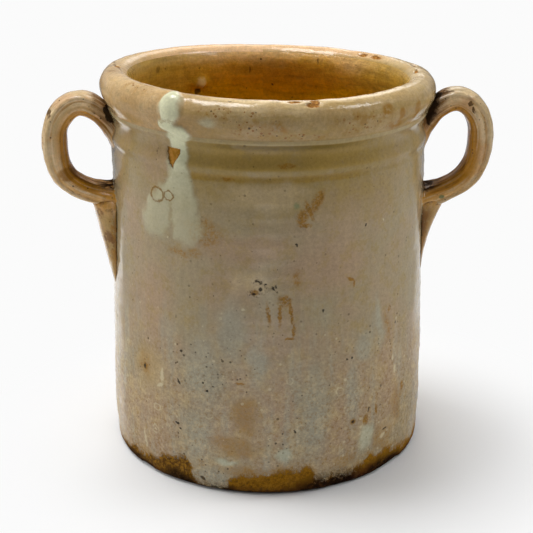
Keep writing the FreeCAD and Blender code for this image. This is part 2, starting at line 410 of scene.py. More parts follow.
# The thrown pot: every profile row turned round the axis at every column's angle, pushed out along
# the profile's normal by the surface's rise, and leaned. Its two poles are single points.
def thrownPot():
    profile = potProfile()
    way = wayFromLip(profile)
    angles = columnAngles()
    tangent = np.gradient(profile, way, axis=0)
    tangent /= np.linalg.norm(tangent, axis=1)[:, None]
    normal = np.c_[tangent[:, 1], -tangent[:, 0]]
    rows, count = len(profile), len(angles)
    around, along = np.meshgrid(angles, way)
    full = 2 * np.pi * pot["waist"][0]

    def turned(points):
        radius, height = points.T[:, :, None]
        return np.stack(np.broadcast_arrays(radius * np.sin(around), -radius * np.cos(around), height), -1)

    place = turned(profile)
    across = np.where(around > np.pi, around - 2 * np.pi, around) * pot["waist"][0]
    rise, field = surfaceRise(across, along, place)
    rise *= smoothStep(profile[:, :1], 2, 90)
    rise[profile[:, 1] < 0.5] = 0
    place = leanPlace(place + turned(normal) * rise[..., None])
    place[..., 2] = np.maximum(place[..., 2], 0)
    points = np.concatenate([place[:1, 0], place[1:-1].reshape(-1, 3), place[-1:, 0]])
    points[0, :2] = points[-1, :2] = 0
    number = 1 + np.arange((rows - 2) * count).reshape(rows - 2, count)
    after = np.roll(number, -1, axis=1)
    quads = np.stack([number[:-1], after[:-1], after[1:], number[1:]], -1).reshape(-1, 4)
    firstFan = np.stack([np.zeros(count, int), after[0], number[0]], -1)
    lastFan = np.stack([number[-1], after[-1], np.full(count, len(points) - 1)], -1)
    edge = np.r_[angles, angles[0] + 2 * np.pi]
    edge = np.where(edge > np.pi + 1e-6, edge - 2 * np.pi, edge) * pot["waist"][0]
    left, right = edge[:-1], edge[1:].copy()
    right[right < left] += full
    middle = (left + right) / 2
    low, high = way[1:-2, None], way[2:-1, None]
    faceMap = np.concatenate([
        cornerMap((left, low), (right, low), (right, high), (left, high)),
        cornerMap((middle, way[0]), (right, way[1]), (left, way[1])),
        cornerMap((left, way[-2]), (right, way[-2]), (middle, way[-1])),
    ])
    rowSlot = np.digitize((low + high)[:, 0] / 2, (rimFrom, insideFrom))
    slots = np.concatenate([np.repeat(rowSlot, count), np.zeros(count), np.full(count, 2)])
    faces = quads.tolist() + firstFan.tolist() + lastFan.tolist()
    fieldPoints = np.concatenate([field[:1, 0], field[1:-1].ravel(), field[-1:, 0]])
    print("thrown pot:", rows, "rows,", count, "columns,", len(faces), "faces")
    return makeMesh("glazedPot", points, faces, faceMap, fieldPoints, slots)


# The two pulled handles, in millimetres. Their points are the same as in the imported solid: each
# is radius and height from the lip.
handles = {
    "width": 25.0,
    "thickness": (15.0, 17.4, 15.2),  # at the top, the side and the low end
    "squareness": (2.7, 2.0),  # of the strap and of its flared ends
    "grooves": [(27.0, 1.0), (75.0, 1.1), (118.0, 1.25)],  # angle from the back, depth
    "grooveSpread": 10.0,
    "topFlare": (34.0, 52.0, 19.0),  # length, width, thickness
    "lowFlare": (30.0, 50.0, 24.0),
    "loop": [(121.3, 2.6), (132.6, 6.6), (145.4, -2.0), (150.2, -22.5), (145.4, -43.6)],
    "runRadius": 127.0,
    "rootRadius": 101.0,
    "topRoot": -27.0,
    "heart": 106.5,  # nothing of a handle reaches deeper into the wall than this radius
    "sections": 96,
    "ribPoints": 72,
    "mapMiddle": 535.0,  # where the face towards the loop lies across the wall map
    "mapWidth": 70.0,  # the way round a strap or a tongue, on the wall map
    "tongueReach": 15.0,
    "tongueBed": 5.0,
    "tongueDrop": 8.0,
    "tongueHeadRise": 9.0,
    "tongueHead": 0.66,
    "tongueTip": 0.6,
    "tongueSections": 44,
    "tonguePoints": 56,
    "left": {
        "bearing": 180 + 9.0,
        "run": -56.6,
        "root": -61.5,
        "tongue": (68.0, 43.0),
        "tongueHollow": 1.1,
        "drift": 4.0,
        "seed": 31,
    },
    "right": {
        "bearing": -3.0,
        "run": -59.0,
        "root": -67.0,
        "tongue": (53.0, 37.0),
        "tongueHollow": 1.65,
        "drift": -3.0,
        "seed": 47,
    },
}


# Smooth line through the points with the same bend on both sides of each: the second slopes solve
# one set of equations, and every span is the cubic that they give.
def smoothLine(points, count):
    points = np.array(points, float)
    lengths = np.linalg.norm(np.diff(points, axis=0), axis=1)
    size = len(points)
    system = np.zeros((size, size))
    wanted = np.zeros((size, 2))
    system[0, 0] = system[-1, -1] = 1
    for index in range(1, size - 1):
        before, after = lengths[index - 1], lengths[index]
        system[index, index - 1:index + 2] = before / 6, (before + after) / 3, after / 6
        wanted[index] = (points[index + 1] - points[index]) / after
        wanted[index] -= (points[index] - points[index - 1]) / before
    bends = np.linalg.solve(system, wanted)
    along = np.r_[0, np.cumsum(lengths)]
    fine = np.linspace(0, along[-1], 2000)
    span = np.clip(np.searchsorted(along, fine, side="right") - 1, 0, size - 2)
    length = lengths[span][:, None]
    share = (fine[:, None] - along[span][:, None]) / length
    rest = 1 - share
    line = rest * points[span] + share * points[span + 1]
    line += length ** 2 / 6 * ((rest ** 3 - rest) * bends[span] + (share ** 3 - share) * bends[span + 1])
    way = np.r_[0, np.cumsum(np.linalg.norm(np.diff(line, axis=0), axis=1))]
    at = np.linspace(0, way[-1], count)
    return np.stack([np.interp(at, way, line[:, axis]) for axis in (0, 1)], -1), at


# Turns rings drawn in the XZ plane to the handle's bearing, keeps them out of the pot's inside, and
# closes them into a solid mesh: quads between the rings and a fan at each end.
def closeRings(name, rings, way, bearing):
    x, y, z = np.moveaxis(rings, -1, 0)
    radius = np.hypot(x, y)
    keep = np.maximum(radius, handles["heart"]) / np.maximum(radius, 1e-6)
    x, y = x * keep, y * keep
    cosine, sine = math.cos(math.radians(bearing)), math.sin(math.radians(bearing))
    rings = np.stack([x * cosine - y * sine, x * sine + y * cosine, z], -1)
    rows, count = rings.shape[:2]
    points = np.concatenate([rings.reshape(-1, 3), rings[:1].mean(1), rings[-1:].mean(1)])
    number = np.arange(rows * count).reshape(rows, count)
    after = np.roll(number, -1, axis=1)
    quads = np.stack([number[:-1], number[1:], after[1:], after[:-1]], -1).reshape(-1, 4)
    firstFan = np.stack([np.full(count, rows * count), number[0], after[0]], -1)
    lastFan = np.stack([np.full(count, rows * count + 1), after[-1], number[-1]], -1)
    step = handles["mapWidth"] / count
    left = np.arange(count) * step + handles["mapMiddle"] - handles["mapWidth"] / 2
    right, low, high = left + step, way[:-1, None], way[1:, None]
    quadMap = cornerMap((left, low), (left, high), (right, high), (right, low))
    faceMap = np.concatenate([quadMap, np.zeros((count * 6, 2))])
    faces = quads.tolist() + firstFan.tolist() + lastFan.tolist()
    slots = np.full(len(faces), slotNames.index("handle"))
    return makeMesh(name, points, faces, faceMap, np.full(len(points), -1.0), slots)


# One strap: rounded rectangles with grooves pressed in, set square to the loop's line. They widen
# towards the wall, and the grooves and the thickness waver along the line.
def strapMesh(side):
    facts = handles[side]
    loop = [(handles["rootRadius"], handles["topRoot"]), *handles["loop"]]
    loop += [(handles["runRadius"], facts["run"]), (handles["rootRadius"], facts["root"])]
    points = [(radius, pot["lipHeight"] + height) for radius, height in loop]
    path, way = smoothLine(points, handles["sections"])
    direction = np.gradient(path, axis=0)
    direction /= np.linalg.norm(direction, axis=1)[:, None]
    back = np.c_[-direction[:, 1], direction[:, 0]]
    share = way / way[-1]
    topThickness, sideThickness, lowThickness = handles["thickness"]
    ends = np.where(share < 0.5, topThickness, lowThickness)
    thickness = ends + (sideThickness - ends) * np.sin(np.pi * share) ** 2
    width = np.full(len(way), handles["width"])
    flared = 0
    for name, gone, endThickness in (
        ("topFlare", way, topThickness),
        ("lowFlare", way[-1] - way, lowThickness),
    ):
        length, flareWidth, flareThickness = handles[name]
        flare = np.clip(1 - gone / length, 0, 1) ** 2
        width += (flareWidth - handles["width"]) * flare
        thickness += (flareThickness - endThickness) * flare
        flared = np.maximum(flared, flare)
    squareness, flareSquareness = handles["squareness"]
    power = (2 / (squareness + (flareSquareness - squareness) * flared))[:, None]
    angle = np.arange(handles["ribPoints"]) * 2 * np.pi / handles["ribPoints"]
    sine, cosine = np.sin(angle), np.cos(angle)
    across = (width / 2)[:, None] * np.sign(sine) * np.abs(sine) ** power
    outward = (thickness / 2)[:, None] * np.sign(cosine) * np.abs(cosine) ** power
    turn = np.degrees(np.minimum(angle, 2 * np.pi - angle))
    random = np.random.default_rng(facts["seed"])
    press = np.zeros(across.shape)
    for grooveAngle, depth in handles["grooves"]:
        wander = grooveAngle + 2.5 * np.sin(way * 0.055 + random.uniform(0, 6))
        waver = depth * (1 + 0.35 * np.sin(way * 0.09 + random.uniform(0, 6))) * (1 - 0.75 * flared)
        press += waver[:, None] * np.exp(-((turn - wander[:, None]) / handles["grooveSpread"]) ** 2)
    keep = 1 - press / np.hypot(across, outward)
    across, outward = across * keep, outward * keep
    rings = np.stack([path[:, :1] + back[:, :1] * outward, across, path[:, 1:] + back[:, 1:] * outward], -1)
    rough = 0.26 * lumps(rings, 24, facts["seed"] + 1) + 0.14 * lumps(rings, 8, facts["seed"] + 2)
    rough *= 1 + 1.6 * flared[:, None]
    spoke = rings - np.stack([path[:, 0], np.zeros(len(path)), path[:, 1]], -1)[:, None]
    rings += spoke / np.linalg.norm(spoke, axis=-1)[..., None] * rough[..., None]
    return closeRings(side + "Strap", rings, way, facts["bearing"])


# One tongue: level ovals bedded in the wall that shrink downwards until they sink into it.
def tongueMesh(side):
    facts = handles[side]
    length, fullWidth = facts["tongue"]
    head, bed = handles["tongueHeadRise"], handles["tongueBed"]
    drop = np.linspace(-head, length, handles["tongueSections"])
    share = np.clip(drop / length, 0, 1)
    grown = handles["tongueHead"] + (1 - handles["tongueHead"]) * smoothStep(drop, -head, 0)
    width = fullWidth * (1 - share * (1 - handles["tongueTip"])) * grown
    reach = (handles["tongueReach"] * (1 - share) ** facts["tongueHollow"] - share) * grown
    height = pot["lipHeight"] + facts["run"] - handles["tongueDrop"] - drop
    shoulder, waist = pot["shoulder"], pot["waist"]
    wallShare = (shoulder[1] - height) / (shoulder[1] - waist[1])
    wallRadius = shoulder[0] + wallShare * (waist[0] - shoulder[0])
    angle = np.arange(handles["tonguePoints"]) * 2 * np.pi / handles["tonguePoints"]
    x = (wallRadius - bed)[:, None] + (bed + reach)[:, None] * np.cos(angle)
    y = (width / 2)[:, None] * np.sin(angle)
    rings = np.stack([x, y, height[:, None] * np.ones(len(angle))], -1)
    swell = 0.25 * lumps(rings, 26, facts["seed"] + 3) + 0.10 * lumps(rings, 9, facts["seed"] + 4)
    rings[..., 0] += swell * np.clip(np.cos(angle), 0, 1)
    rings[..., 1] += facts["drift"] * smoothStep(drop, 0, length)[:, None]
    return closeRings(side + "Tongue", rings[::-1], height[::-1] - 400, facts["bearing"])


def newObject(name, data):
    made = bpy.data.objects.new(name, data)
    bpy.context.scene.collection.objects.link(made)
    return made


# Joins the pieces to the pot as one closed solid, and deletes them.
def fuse(base, others):
    for other in others:
        join = base.modifiers.new("join", "BOOLEAN")
        join.operation = "UNION"
        join.solver = "MANIFOLD"
        join.object = other
    fused = bpy.data.meshes.new_from_object(base.evaluated_get(bpy.context.evaluated_depsgraph_get()))
    base.modifiers.clear()
    spent = [base.data] + [other.data for other in others]
    base.data = fused
    for other in others:
        bpy.data.objects.remove(other)
    for mesh in spent:
        bpy.data.meshes.remove(mesh)
    fused.name = "glazedPot"


# Distances in millimetres from a joint of a handle.
joint = {
    "reach": 4.5,  # of the wear
    "rounds": 9,
    "wearShare": 0.6,  # how far a point on the joint moves to its neighbours' mean in a round
    "farthest": 30.0,  # that is measured
    "hollowRounds": 3,
    "beside": (70.0, 45.0),  # only points past this X and this near to the rim's radius are measured
}


# Wears the joints and measures the finished surface. Near a joint each point moves to the mean of
# its neighbours. "joint" is the distance to the nearest joint, up to a limit, and "hollow" is how
# far the neighbours stand above the point's own plane.
def finishSurface(mesh):
    count = len(mesh.vertices)
    places = readAll(mesh.vertices, "co", 3).reshape(-1, 3) / mm
    first, second = readAll(mesh.edges, "vertices", 2, np.int32).reshape(-1, 2).T
    loops = readAll(mesh.loops, "vertex_index", 1, np.int32)
    sizes = readAll(mesh.polygons, "loop_total", 1, np.int32)
    slots = readAll(mesh.polygons, "material_index", 1, np.int32)
    onHandle = np.repeat(slots == slotNames.index("handle"), sizes)
    touched = [np.bincount(loops, share, count) > 0 for share in (onHandle, ~onHandle)]
    seam = np.flatnonzero(touched[0] & touched[1])
    tree = KDTree(len(seam))
    for number, index in enumerate(seam):
        tree.insert(places[index], number)
    tree.balance()
    side, nearRim = joint["beside"]
    near = np.abs(np.hypot(places[:, 0], places[:, 1]) - pot["rimRadius"]) < nearRim
    near &= np.abs(places[:, 0]) > side
    distance = np.full(count, joint["farthest"])
    for index in np.flatnonzero(near):
        distance[index] = min(joint["farthest"], tree.find(places[index])[2])
    links = np.bincount(first, minlength=count) + np.bincount(second, minlength=count)

    def neighbourMean(values):
        total = np.zeros_like(values)
        np.add.at(total, first, values[second])
        np.add.at(total, second, values[first])
        return total / links.reshape(-1, *[1] * (values.ndim - 1))

    weight = joint["wearShare"] * (1 - smoothStep(distance, 0, joint["reach"]))[:, None]
    for _ in range(joint["rounds"]):
        places += weight * (neighbourMean(places) - places)
    mesh.vertices.foreach_set("co", (places * mm).ravel())
    mesh.update()
    normals = readAll(mesh.vertices, "normal", 3).reshape(-1, 3)
    hollow = ((neighbourMean(places) - places) * normals).sum(1)
    for _ in range(joint["hollowRounds"]):
        hollow = (hollow + neighbourMean(hollow)) / 2
    giveValues(mesh, {"joint": distance, "hollow": hollow})
    triangles = int((sizes - 2).sum())
    print("finished surface:", count, "points,", triangles, "triangles,", len(seam), "on the joints")


# One value in a material's nodes. Python's signs on it add Math nodes.
class Wire:
    def __init__(self, paint, socket):
        self.paint = paint
        self.socket = socket

    def math(self, operation, *others):
        return self.paint.node("Math", {"operation": operation}, dict(enumerate((self, *others))))

    def __add__(self, other):
        return self.math("ADD", other)

    def __sub__(self, other):
        return self.math("SUBTRACT", other)

    def __rsub__(self, other):
        return self.paint.node("Math", {"operation": "SUBTRACT"}, {0: other, 1: self})

    def __mul__(self, other):
        return self.math("MULTIPLY", other)

    def __truediv__(self, other):
        return self.math("DIVIDE", other)

    __radd__, __rmul__ = __add__, __mul__

    # One above the high value and nought below the low one, with a soft step between.
    def above(self, low, high, start=0.0, end=1.0):
        values = {"Value": self, "From Min": low, "From Max": high, "To Min": start, "To Max": end}
        return self.paint.node("MapRange", {"interpolation_type": "SMOOTHSTEP"}, values)

    def below(self, low, high):
        return self.above(low, high, 1.0, 0.0)

    def most(self, *others):
        result = self
        for other in others:
            result = result.math("MAXIMUM", other)
        return result

    def least(self, other):
        return self.math("MINIMUM", other)


# The nodes of a new material, or of a world, and the one method that adds to them.
class Paint:
    def __init__(self, owner):
        self.material = bpy.data.materials.new(owner) if isinstance(owner, str) else owner
        self.material.use_nodes = True
        self.tree = self.material.node_tree
        self.tree.nodes.clear()

    def node(self, kind, settings=None, values=None, output=0):
        made = self.tree.nodes.new("ShaderNode" + kind)
        for name, setting in (settings or {}).items():
            if name == "stops":
                self.setStops(made.color_ramp, setting)
            else:
                setattr(made, name, setting)
        for name, value in (values or {}).items():
            socket = made.inputs[name]
            if isinstance(value, Wire):
                self.tree.links.new(value.socket, socket)
            else:
                socket.default_value = value
        return Wire(self, made.outputs[output]) if made.outputs else None

    def setStops(self, ramp, stops):
        while len(ramp.elements) < len(stops):
            ramp.elements.new(1.0)
        for element, (position, colour) in zip(ramp.elements, stops):
            element.position = position
            element.color = colour

    def mix(self, share, one, other):
        return self.node("Mix", {"data_type": "RGBA"}, {"Factor": share, 6: one, 7: other}, output=2)

    def part(self, vector, axis):
        return self.node("SeparateXYZ", {}, {0: vector}, output=axis)

    def ray(self, kind):
        return self.node("LightPath", output="Is %s Ray" % kind)


# Colours of the clay and the glaze as they look in plain light. A few are also laid as painted highlight,
# painted light or painted shade, where the finishes say so.
colours = {
    "greige": (166, 150, 118),
    "pinkish": (174, 148, 118),
    "khaki": (154, 130, 74),
    "neckOlive": (162, 132, 62),
    "neckShade": (104, 82, 12),
    "lipHighlight": (188, 170, 128),
    "bandOchre": (158, 122, 40),
    "blueGrey": (166, 162, 142),
    "sandy": (198, 176, 138),
    "mint": (192, 194, 168),
    "rimCream": (208, 182, 136),
    "rimBackLit": (240, 196, 150),
    "rimTan": (190, 160, 110),
    "rimGreigeAndShade": (138, 110, 58),
    "rimOlive": (140, 114, 54),
    "paleWearAndHighlight": (230, 204, 160),
    "handleTan": (216, 184, 136),
    "handlePale": (230, 202, 160),
    "handlePink": (210, 162, 116),
    "amber": (190, 132, 26),
    "amberDeep": (152, 100, 10),
    "insideTan": (216, 172, 108),
    "insideOchre": (208, 156, 52),
    "insideDeep": (214, 160, 12),
    "insideOlive": (156, 128, 50),
    "bareClay": (186, 132, 62),
    "chipBrown": (132, 84, 34),
    "rust": (152, 108, 32),
    "bubbleBrown": (128, 94, 34),
    "rawFoot": (138, 94, 8),
    "rawOlive": (122, 86, 28),
    "footGold": (172, 122, 32),
    "redFoot": (84, 34, 6),
    "soilAndShade": (70, 42, 14),
    "soilPale": (112, 70, 26),
    "grimeAndShade": (24, 14, 7),
    "speck": (54, 36, 16),
    "dripPaleAndHighlight": (220, 220, 184),
    "dripWhite": (196, 194, 162),
    "dripThin": (182, 176, 146),
    "green": (76, 112, 72),
    "chalk": (212, 200, 164),
}
colours = {name: screenColour(*levels) for name, levels in colours.items()}


# A finish of the pot: a colour built up in layers. It reads the object's own coordinates and the
# wall map, whose across and along are millimetres round the pot and from the lip.
class Finish(Paint):
    def __init__(self, name, colour):
        super().__init__(name)
        self.colour = colours[colour]
        self.place = self.node("TexCoord", output="Object")
        self.wallMap = self.node("UVMap", {"uv_map": "wallMap"})
        self.across, self.along = self.onWall(self.wallMap)

    def onWall(self, wallMap):
        return self.part(wallMap, "X") * wallMapUnit, self.part(wallMap, "Y") * wallMapUnit

    def attribute(self, name):
        return self.node("Attribute", {"attribute_name": name}, output="Fac")

    # Lays a colour over what is there, by its share.
    def lay(self, share, over):
        self.colour = self.mix(share, self.colour, colours[over] if isinstance(over, str) else over)

    # Lightens and darkens a colour by patterns that swing about one half, each with its strength.
    def shaded(self, colour, *swings):
        value = 1
        for pattern, strength in swings:
            value = value + (pattern - 0.5) * strength
        return self.node("HueSaturation", {}, {"Value": value, "Color": colour})

    # Cloudy pattern from 0 to 1, with its size in millimetres.
    def noise(self, vector, size, detail, roughness, seed, stretch=(1, 1, 1)):
        values = {"Vector": vector, "Location": (seed, seed * 0.7, seed * 1.3), "Scale": stretch}
        values = {"Vector": self.node("Mapping", {}, values), "Scale": 1 / (size * mm)}
        return self.node("TexNoise", {}, {**values, "Detail": detail, "Roughness": roughness})

    def noises(self, *table):
        return [self.noise(self.place, *facts) for facts in table]

    # Specks: cells of which only a random few carry a dot, smaller than the cell. The sizes are
    # the cell in millimetres and the dot as a share of it.
    def specks(self, cell, share, size):
        values = {"Vector": self.place, "Scale": 1 / (cell * mm)}
        distance = self.node("TexVoronoi", {}, values, output="Distance")
        random = Wire(self, distance.socket.node.outputs["Color"])
        pick = self.node("SeparateColor", {}, {"Color": random}, output="Red")
        spread = self.node("SeparateColor", {}, {"Color": random}, output="Green")
        grown = size * 0.5 + spread * size
        return (grown - distance).above(0, size * 0.25) * pick.below(share - 0.01, share)

    # A map shaken by noise, so that marks get ragged edges. Size and reach are in millimetres, and
    # the unit is the map's own in millimetres.
    def shaken(self, vector, size, reach, unit=wallMapUnit):
        values = {"Vector": self.place, "Scale": 1 / (size * mm), "Detail": 2.0}
        noise = self.node("TexNoise", {}, values, output="Color")
        centred = self.node("VectorMath", {"operation": "SUBTRACT"}, {0: noise, 1: (0.5, 0.5, 0.5)})
        push = self.node("VectorMath", {"operation": "SCALE"}, {0: centred, "Scale": 2 * reach / unit})
        return self.node("Mapping", {"vector_type": "POINT"}, {"Vector": vector, "Location": push})

    # Nearness to the closest of some shapes, each a middle, a turn and a reach in the vector's own
    # unit: one at a middle and nought from its reach outwards. The vector is moved to each middle,
    # turned and scaled.
    def nearest(self, vector, shapes):
        near = None
        for middle, turn, reach in shapes:
            values = {"Vector": vector, "Location": middle, "Rotation": (0, 0, turn), "Scale": reach}
            at = self.node("Mapping", {"vector_type": "TEXTURE"}, values)
            here = self.node("TexGradient", {"gradient_type": "SPHERICAL"}, {"Vector": at}, output="Fac")
            near = here if near is None else near.most(here)
        return near

    # How far out a place on the wall is from the nearest mark, as a share of the mark's own size:
    # one at its edge, two or more well outside. A mark is its middle across and along, its two half
    # sizes and, where it is turned, its turn in degrees.
    def markReach(self, wallMap, marks):
        shapes = []
        for across, along, halfAcross, halfAlong, *turn in marks:
            middle = (across / wallMapUnit, along / wallMapUnit, 0)
            reach = (2 * halfAcross / wallMapUnit, 2 * halfAlong / wallMapUnit, 1)
            shapes.append((middle, math.radians(sum(turn)), reach))
        return 2 - 2 * self.nearest(wallMap, shapes)

    def marks(self, wallMap, marks, soft=0.5):
        return self.markReach(wallMap, marks).below(1 - soft, 1 + soft)

    # Rings of the same kind, such as the edge of a burst bubble.
    def rings(self, wallMap, marks, width):
        out = self.markReach(wallMap, marks)
        return out.above(1 - 2 * width, 1 - width) * out.below(1, 1 + width)

    # Marks set by a place in space: ellipsoids, one at their middle and nought from their half sizes.
    def spaceMarks(self, place, marks):
        shapes = []
        for middle, halfSizes in marks:
            shapes.append(([at * mm for at in middle], 0, [1.2 * half * mm for half in halfSizes]))
        return self.nearest(place, shapes).above(0.05, 0.35)

    # Fine unevenness of every glazed surface, in millimetres.
    def uneven(self):
        slow, fine = self.noises((26, 1, 0.5, 0), (6, 2, 0.5, 0))
        return slow * 0.45 + fine * 0.09

    # The two marks along the joints of the handles: a narrow pale seam, of thick glaze and painted highlight,
    # and dirt beside it.
    def jointMarks(self):
        distance = self.attribute("joint")
        mottle, = self.noises((5, 4, 0.7, 13))
        seam = (distance + (mottle - 0.5) * 4).below(0.8, 2.4) * mottle.above(0.40, 0.60)
        return seam, (distance + (mottle - 0.5) * 12).below(0.5, 5)

    # Glossy glaze, and in its place dull clay or dirt by the share that is bare, with a bump for its
    # fine unevenness in millimetres.
    def done(self, bare, height):
        bump = self.node("Bump", {}, {"Strength": 1.0, "Distance": mm, "Height": self.uneven() + height})
        values = {"Base Color": self.colour, "Normal": bump}
        glossy = {**values, "Roughness": 0.12 + bare * 0.3, "IOR": 1.5}
        glaze = self.node("BsdfPrincipled", {}, glossy)
        clay = self.node("BsdfPrincipled", {}, {**values, "Roughness": 0.9, "Specular IOR Level": 0.04})
        shader = self.node("MixShader", {}, {0: bare.least(1), 1: glaze, 2: clay})
        self.node("OutputMaterial", {}, {"Surface": shader})
        return self.material


# The thick pale run, where the field of the mesh is above nought. Its thick middle is palest, and a
# thin yellow line parts its two lobes.
def paintDrip(finish):
    across, along = finish.across, finish.along
    wander, fine = finish.noises((6, 3, 0.6, 9), (1.8, 3, 0.7, 22))
    ragged = finish.attribute("drip") + (wander - 0.5) * 0.4
    run = ragged.above(-0.12, 0.22) * along.above(-84, -62)
    thick = ragged.above(0.0, 0.4)
    # The upper part of the run is laid paler: white glaze and painted highlight on its top.
    pale = finish.mix(along.above(-30, 2), colours["dripWhite"], colours["dripPaleAndHighlight"])
    pale = finish.mix(thick, colours["dripThin"], pale)
    pale = finish.mix(wander.above(0.5, 0.66) * 0.5, pale, colours["dripWhite"])
    middle = across + 68 + (wander - 0.5) * 8
    parting = middle.math("ABSOLUTE").below(0.3, 2.6) * along.below(-50, -38)
    pale = finish.mix(parting * 0.5, pale, colours["khaki"])
    pale = finish.shaded(pale, (fine, 0.45), (wander, 0.3))
    opaque = 0.50 + 0.46 * thick * along.above(-60, -10)
    finish.lay(run * opaque, pale)
    return run


# The piece lost from the run of glaze: a wedge, wide at its top and pointed at its foot, which
# shows the clay.
def paintLostPiece(finish, ragged):
    middle, top, halfWidth, height, _ = drip["chip"]
    across, along = finish.onWall(ragged)
    drop = (top - along) / height
    half = ((1 - drop * drip["chipTaper"]) * halfWidth).least(halfWidth)
    inside = half - (across - middle).math("ABSOLUTE")
    lost = inside.above(-0.4, 0.5) * drop.above(-0.36, -0.28)
    shade, = finish.noises((3, 3, 0.5, 8))
    clay = finish.mix(shade.above(0.35, 0.65), colours["bareClay"], colours["rust"])
    clay = finish.mix(inside.below(0.3, 1.4) * 0.8, clay, colours["speck"])
    finish.lay(lost, clay)
    return lost


# Marks on the outside of the wall, in millimetres on the wall map: the middle across and along, the
# two half sizes and, for a turned mark, its turn in degrees
wallMarks = {
    "rust": [
        (22.6, -50, 3.6, 5.6, -18), (32.6, -39.6, 3.4, 7.6, -28), (27.2, -45.5, 1.8, 7, 24),
        (24.5, -55.5, 4.2, 1.4), (0.6, -114.4, 1.4, 7.4, 8), (11.2, -106.2, 4.4, 4),
        (8.2, -115, 1.2, 8.4), (15.6, -114, 1.3, 9.4, 8), (17.4, -127, 1.2, 4.6),
        (14.8, -132.4, 3.2, 0.9), (57.5, -95.6, 3.6, 1, -24), (60, -98.8, 0.9, 2.6),
        (-18, -164.9, 3.2, 0.9), (-94, -167.6, 2.4, 2.8), (12, -15.6, 5.4, 1.6), (-26, -25, 4, 1.2),
        (93.4, -124.6, 1.2, 2.6, -20), (-8.5, -100, 2.6, 2), (71.7, -201.2, 2.4, 4),
        (60.6, -199.6, 2.4, 2), (81.5, -196, 1, 4), (111.2, -188.4, 2.2, 3),
    ],
    "brown": [
        (-14.4, -188, 7.6, 11), (-27.5, -209.5, 8, 5.6), (-15.5, -211, 6.4, 7), (-8, -231, 22, 4),
        (88, -220, 9, 9), (104, -200, 6, 14), (-42, -62, 11, 9), (-60, -77, 12, 2.4), (20, -90, 3, 6),
        (91, -136, 2.4, 9), (56, -229, 8, 6), (-94, -167, 5.5, 8),
    ],
    "pits": [
        (-6.4, -92.4, 2.2, 0.8, -28), (-4.6, -97.6, 1.1, 1), (-1.2, -94.2, 0.8, 0.6),
        (4, -97.4, 0.6, 2, 30), (-9, -101, 1.3, 0.8), (-62.3, -170.2, 0.6, 2, 30),
        (-64.7, -157, 0.7, 0.7), (-60.5, -147.2, 1.2, 0.7), (-43.7, -167, 0.7, 0.7),
        (-40.8, -172.3, 0.8, 0.8), (-36.5, -168.8, 0.7, 0.6), (-64.2, -201.4, 1.2, 0.9),
        (-61.8, -205.3, 0.7, 1), (-94.2, -167.6, 1.2, 1.6), (18.8, -68, 0.6, 0.8),
        (69.9, -60.7, 0.6, 0.7), (37.4, -114.7, 0.6, 1.2), (55.5, -152.6, 0.8, 0.6),
        (59.6, -152, 0.7, 0.6), (100.8, -137.1, 0.6, 0.9), (74.2, -194.4, 0.8, 2, -24),
        (60.6, -199.6, 1.1, 1), (91, -214.6, 2.4, 0.8, 12), (18.5, -199.6, 0.8, 1.3, 24),
        (-45, -240, 2.2, 1, -30),
    ],
    "mint": [(72.1, -214, 6, 11), (10.8, -219, 5.6, 5.4), (-26, -224, 8, 2.8)],
    "blue": [
        (82, -131, 3.6, 18, 4), (69.4, -148, 6, 9), (-23.9, -128.7, 10, 22), (-6.7, -150.4, 6, 14),
        (32, -186, 9, 34), (-44, -160, 15, 26), (-50, -205, 13, 20), (60, -180, 6, 26),
        (-38, -240, 13, 9),
    ],
    "pink": [
        (8, -182, 10, 26), (-84, -118, 16, 24), (52, -200, 12, 18), (-14, -72, 32, 9),
        (-82, -20, 16, 14), (40, -86, 30, 16), (-84, -205, 20, 24), (96, -170, 13, 40),
    ],
    "bubbleEdges": [(-79.6, -41.4, 6.2, 5), (-69.4, -40.6, 4, 3.4)],
    "paleRings": [
        (15, -162.6, 2.4, 2.4), (50.1, -174.8, 3, 3), (-39.4, -189, 3.4, 3.6),
        (-82.2, -194.7, 3.4, 2.4), (-83.8, -212.2, 3.2, 3.4),
    ],
    "warm": [(-91, -166, 12, 15), (-18, -210, 15, 8), (-14.4, -188, 9, 12)],
    "crumbs": [
        (-6.4, -93, 5.5, 2, -28), (-4, -97.4, 4.5, 3.6), (-9, -101, 4, 2.6), (5, -97.4, 2.2, 3, 30),
    ],
    "chalkDots": [
        (-15.9, -112.1, 0.9, 0.9), (89, -219, 2.6, 1.6, 30), (86, -60, 0.8, 1.2), (99, -163, 1.2, 2.2),
        (101, -172, 1.2, 3), (-71, -69, 0.7, 0.7), (-96.1, -224, 1.2, 7, 12), (-83.8, -212.2, 1.2, 1.2),
        (-77, -169, 1.4, 5), (-79, -177, 3.4, 1.2, 30),
    ],
    "green": [(18.6, -42.1, 2, 2)],
    "halo": [(-12, -93, 12, 9), (92, -216, 7, 8), (-88, -168, 13, 14), (0, -36, 24, 9)],
    # dark patches at the foot: grime, with painted shade at the right
    "grimeAndShade": [
        (-66, -247, 14, 8), (46, -247, 28, 11), (92, -247, 24, 9), (-38, -250, 18, 8),
        (-110, -246, 20, 4),
    ],
}

# Height of the bare clay above the foot's edge, at distances round the pot, both in millimetres
footLine = {
    "depth": 250,
    "highest": 30,
    "softness": 1.8,
    "heights": [
        (-355, 9), (-250, 12), (-160, 7), (-138, 8), (-114, 13), (-97, 12), (-82, 17), (-71, 21),
        (-58, 24), (-54, 17), (-51, 6), (-38, 2), (-29, 2), (-26, 14), (-9, 17), (8, 19), (25, 22),
        (31, 19), (33, 11), (42, 9), (45.4, 15), (48, 9), (60, 10), (77, 18), (89, 17), (113, 13),
        (134, 10), (200, 14), (300, 7), (355, 9),
    ],
}
